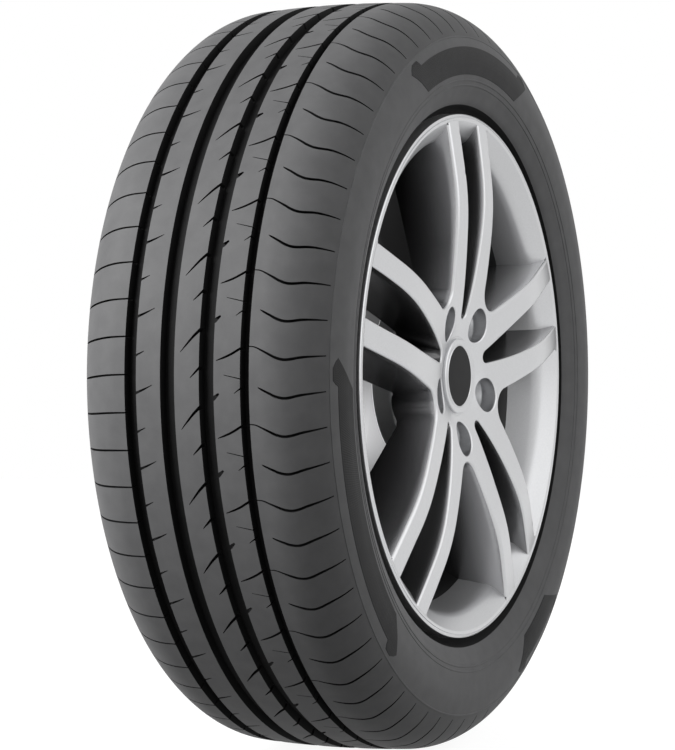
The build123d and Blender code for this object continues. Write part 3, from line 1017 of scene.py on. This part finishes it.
def silver_material(name, shade, roughness):
    """Silver wheel lacquer with a faint metallic grain."""
    material, shader, nodes, links = new_material(name)
    flakes = object_noise(nodes, links, scale=900.0, detail=2.0)
    paint(shader, nodes, links, flakes, [(0.0, 0.9 * shade, 0.905 * shade, 0.92 * shade),
                                         (1.0, 1.1 * shade, 1.11 * shade, 1.13 * shade)])
    shader.inputs["Metallic"].default_value = 0.9
    shader.inputs["Roughness"].default_value = roughness
    return material


def painted_shade_material(name, tones, front, rear, roughness):
    """Wheel lacquer with painted shade: its tone changes with depth from the front of the wheel to the
    rear, between two places in Y.
    """
    material, shader, nodes, links = new_material(name)
    place = nodes.new("ShaderNodeTexCoord")
    split = nodes.new("ShaderNodeSeparateXYZ")
    links.new(place.outputs["Object"], split.inputs["Vector"])
    depth = nodes.new("ShaderNodeMapRange")
    depth.inputs["From Min"].default_value = front
    depth.inputs["From Max"].default_value = rear
    links.new(split.outputs["Y"], depth.inputs["Value"])
    paint(shader, nodes, links, depth.outputs["Result"],
          [(position, tone, tone, 1.02 * tone) for position, tone in tones])
    shader.inputs["Metallic"].default_value = 0.9
    shader.inputs["Roughness"].default_value = roughness
    return material


tread_rubber = rubber_material("tread_rubber", shade=0.085, sheen=0.15)
side_rubber = rubber_material("sidewall_rubber", shade=0.105, sheen=0.15)
panel_rubber = rubber_material("panel_rubber", shade=0.035, sheen=0.1)
# Near-black rubber for the grooves, cuts and rim recesses: the same rubber darkened as painted shade.
painted_shade_rubber = rubber_material("painted_shade_rubber", shade=0.012, sheen=0.05)
silver = silver_material("silver_lacquer", shade=0.58, roughness=0.28)
# A darker copy of the silver for the sloping front of the rim: painted shade.
rim_silver_painted_shade = silver_material("rim_lacquer_painted_shade", shade=0.52, roughness=0.34)
# Window flanks are painted darker deeper into the wheel: painted shade.
flank_shade_tones = [(0.0, 0.56), (0.25, 0.42), (0.6, 0.2), (1.0, 0.05)]
flank = painted_shade_material("spoke_flank_painted_shade", flank_shade_tones, front=-0.112, rear=-0.062, roughness=0.24)
narrow_shade_tones = [(0.0, 0.46), (0.2, 0.22), (0.55, 0.06), (1.0, 0.02)]
narrow = painted_shade_material("narrow_flank_painted_shade", narrow_shade_tones, front=-0.112, rear=-0.062, roughness=0.24)
# The inside of the barrel and the back of the spokes are painted near-black: painted shade.
barrel_shade_ramp = [(0.0, 0.03), (0.15, 0.008), (0.72, 0.008), (0.84, 0.06), (1.0, 0.08)]
barrel = painted_shade_material("barrel_painted_shade", barrel_shade_ramp, front=-0.064, rear=0.085, roughness=0.42)
cap_dark = rubber_material("cap_dark", shade=0.02, sheen=0.1)

# Pieces

tyre = make_tyre(tread_rubber, side_rubber, panel_rubber, painted_shade_rubber)
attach(tyre, "root")
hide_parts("tyre")
wheel = make_wheel(silver, barrel, flank, narrow, rim_silver_painted_shade)
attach(wheel, "root")
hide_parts("alloy_wheel")
cap = make_cap(silver, cap_dark)
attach(cap, "root")
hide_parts("centre_cap")
stem, dust_cap = make_valve(panel_rubber, cap_dark)
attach(stem, "root")
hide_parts("valve_stem")
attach(dust_cap, "root")
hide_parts("valve_cap")

# Floor, light and camera, in metres


def seen_rays(nodes, links):
    """Output that is one for rays of the camera, of reflections and of clear parts."""
    paths = nodes.new("ShaderNodeLightPath")
    highest = paths.outputs["Is Camera Ray"]
    for kind in ("Is Glossy Ray", "Is Transmission Ray"):
        higher = nodes.new("ShaderNodeMath")
        higher.operation = "MAXIMUM"
        links.new(highest, higher.inputs[0])
        links.new(paths.outputs[kind], higher.inputs[1])
        highest = higher.outputs[0]
    return highest


def make_floor():
    """Round floor under the tyre that looks white but casts little light."""
    mesh = bpy.data.meshes.new("floor")
    outline = circle((0, 0), FLOOR_RADIUS, 72)
    mesh.from_pydata([(x, y, -TYRE_RADIUS / 1000) for x, y in outline], [], [list(range(len(outline)))])
    material, shader, nodes, links = new_material("floor_white")
    shader.inputs["Base Color"].default_value = (0.12, 0.12, 0.12, 1)
    shader.inputs["Roughness"].default_value = 0.9
    shader.inputs["Emission Color"].default_value = (1, 1, 1, 1)
    glow = nodes.new("ShaderNodeMath")
    glow.operation = "MULTIPLY"
    glow.inputs[1].default_value = FLOOR_GLOW
    links.new(seen_rays(nodes, links), glow.inputs[0])
    links.new(glow.outputs[0], shader.inputs["Emission Strength"])
    mesh.materials.append(material)
    piece = bpy.data.objects.new("floor", mesh)
    bpy.context.collection.objects.link(piece)
    return piece


def make_world():
    """White surroundings, bright to the camera and in reflections, that light little else."""
    world = bpy.data.worlds.new("studio")
    world.use_nodes = True
    nodes, links = world.node_tree.nodes, world.node_tree.links
    level = nodes.new("ShaderNodeMapRange")
    level.inputs["To Min"].default_value = SKY_DIM
    level.inputs["To Max"].default_value = SKY_BRIGHT
    links.new(seen_rays(nodes, links), level.inputs["Value"])
    sky = nodes["Background"]
    sky.inputs["Color"].default_value = (1, 1, 1, 1)
    links.new(level.outputs["Result"], sky.inputs["Strength"])
    return world


def area_light(name, place, target, size, power):
    """Soft square lamp that looks at a point."""
    lamp = bpy.data.lights.new(name, "AREA")
    lamp.size = size
    lamp.energy = power
    holder = bpy.data.objects.new(name, lamp)
    holder.location = place
    holder.rotation_euler = (Vector(target) - Vector(place)).to_track_quat("-Z", "Y").to_euler()
    bpy.context.collection.objects.link(holder)
    return holder


floor = make_floor()
scene = bpy.context.scene
scene.view_settings.view_transform = "Standard"
scene.world = make_world()

area_light("key", (-2.1, 1.8, 1.3), (0, 0, 0.05), size=2.0, power=195)
face = area_light("face", (-0.2, -2.6, 1.5), (0, 0, 0), size=3.0, power=46)
face.visible_glossy = False
area_light("shine", (-0.1, -2.4, 1.3), (0, 0, 0), size=3.0, power=18)

camera_data = bpy.data.cameras.new("camera")
camera_data.lens = 127.2
camera_data.shift_x = -0.0315
camera_data.shift_y = 0.0012
camera = bpy.data.objects.new("camera", camera_data)
camera.location = (-2.2247, -1.0168, 0.006)
camera.rotation_euler = (-camera.location).to_track_quat("-Z", "Y").to_euler()
bpy.context.collection.objects.link(camera)
scene.camera = camera
